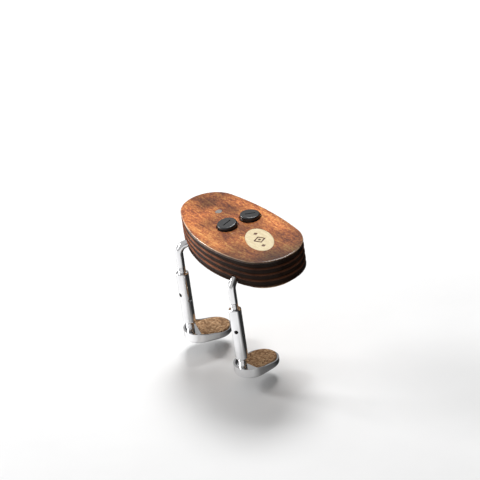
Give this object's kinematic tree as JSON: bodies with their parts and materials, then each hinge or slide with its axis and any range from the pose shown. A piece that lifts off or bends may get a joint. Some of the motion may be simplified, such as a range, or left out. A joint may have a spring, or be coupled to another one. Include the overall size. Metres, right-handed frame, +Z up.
{
  "type": "clamp-on violin pickup pod",
  "caption": "Laminated wooden pickup pod with tilted dials and an inlaid badge, held on a violin's edge by turnbuckle clamps with cork-faced feet.",
  "frame": {"origin": "on the underside of the base cork, which rests on the violin's belly, midway along the pod", "axes": "+Z up from the belly, +X along the pod towards the violin's tail, and the clamps on the -Y side"},
  "size_m": [0.07, 0.0385, 0.0582],
  "materials": {
    "walnut_top": "gloss lacquer, mottled figure",
    "dark_veneer": "gloss lacquer",
    "light_veneer": "gloss lacquer",
    "base_wood": "satin lacquer",
    "cork": "granulated natural cork",
    "chrome_steel": "polished",
    "plated_screw": "zinc plated",
    "dial_plastic": "satin black",
    "ivory_inlay": "semi-gloss ivory with dark engraving",
    "lens": "translucent smoke",
    "board_green": "solder mask",
    "module_can": "stamped shield",
    "pouch_cell": "foil pouch",
    "shaft_steel": "turned",
    "pot_body": "stamped",
    "led": "clear moulding",
    "socket_steel": "drawn shell",
    "piezo_brass": "rolled disc",
    "button_plastic": "satin",
    "lead_wire": "insulated wire"
  },
  "bodies": {
    "pod": {"top_board": "walnut_top", "base_board": "base_wood", "base_cork": "cork", "base_screws": "plated_screw", "hook_screws": "plated_screw", "badge_inlay": "ivory_inlay", "status_lens": "lens", "circuit_board": "board_green", "radio_module": "module_can", "battery": "pouch_cell", "battery_leads": "lead_wire", "near_pot": "pot_body", "far_pot": "pot_body", "status_light": "led", "charging_socket": "socket_steel", "sensor_disc": "piezo_brass", "sensor_button": "button_plastic", "sensor_leads": "lead_wire", "dark_ply_1": "dark_veneer", "dark_ply_2": "dark_veneer", "dark_ply_3": "dark_veneer", "dark_ply_4": "dark_veneer", "light_ply_1": "light_veneer", "light_ply_2": "light_veneer", "light_ply_3": "light_veneer", "left_hook": "chrome_steel", "right_hook": "chrome_steel"},
    "near_dial": {"near_dial_cap": "dial_plastic", "near_dial_shaft": "shaft_steel"},
    "far_dial": {"far_dial_cap": "dial_plastic", "far_dial_shaft": "shaft_steel"},
    "left_barrel": {"left_barrel": "chrome_steel"},
    "left_post": {"left_post": "chrome_steel"},
    "left_foot": {"left_foot": "chrome_steel", "left_foot_cork": "cork"},
    "right_barrel": {"right_barrel": "chrome_steel"},
    "right_post": {"right_post": "chrome_steel"},
    "right_foot": {"right_foot": "chrome_steel", "right_foot_cork": "cork"}
  },
  "joints": [
    {"name": "near_dial_turn", "type": "hinge", "parent": "pod", "child": "near_dial", "pos_m": [-0.0044, -0.0033, 0.0145], "axis": [0, -0.0872, 0.9962], "range_deg": [-150, 150]},
    {"name": "far_dial_turn", "type": "hinge", "parent": "pod", "child": "far_dial", "pos_m": [-0.0034, 0.0076, 0.0145], "axis": [0, 0.0872, 0.9962], "range_deg": [-150, 150]},
    {"name": "left_barrel_turn", "type": "hinge", "parent": "pod", "child": "left_barrel", "pos_m": [-0.0232, -0.0172, -0.0216], "axis": [0, 0, 1], "range_deg": [-1800, 720]},
    {"name": "left_foot_slide", "type": "slide", "parent": "pod", "child": "left_post", "axis": [0, 0, 1], "range_m": [-0.006, 0.0024]},
    {"name": "left_foot_swivel", "type": "hinge", "parent": "left_post", "child": "left_foot", "pos_m": [-0.0232, -0.0172, -0.039], "axis": [0, 0, 1], "range_deg": [-30, 30]},
    {"name": "right_barrel_turn", "type": "hinge", "parent": "pod", "child": "right_barrel", "pos_m": [0.0177, -0.0189, -0.0216], "axis": [0, 0, 1], "range_deg": [-1800, 720]},
    {"name": "right_foot_slide", "type": "slide", "parent": "pod", "child": "right_post", "axis": [0, 0, 1], "range_m": [-0.006, 0.0024]},
    {"name": "right_foot_swivel", "type": "hinge", "parent": "right_post", "child": "right_foot", "pos_m": [0.0177, -0.0189, -0.039], "axis": [0, 0, 1], "range_deg": [-30, 30]}
  ],
  "couplings": [
    {"joint": "left_barrel_turn", "follows": "left_foot_slide", "rad_per_m": 5236},
    {"joint": "right_barrel_turn", "follows": "right_foot_slide", "rad_per_m": 5236}
  ]
}
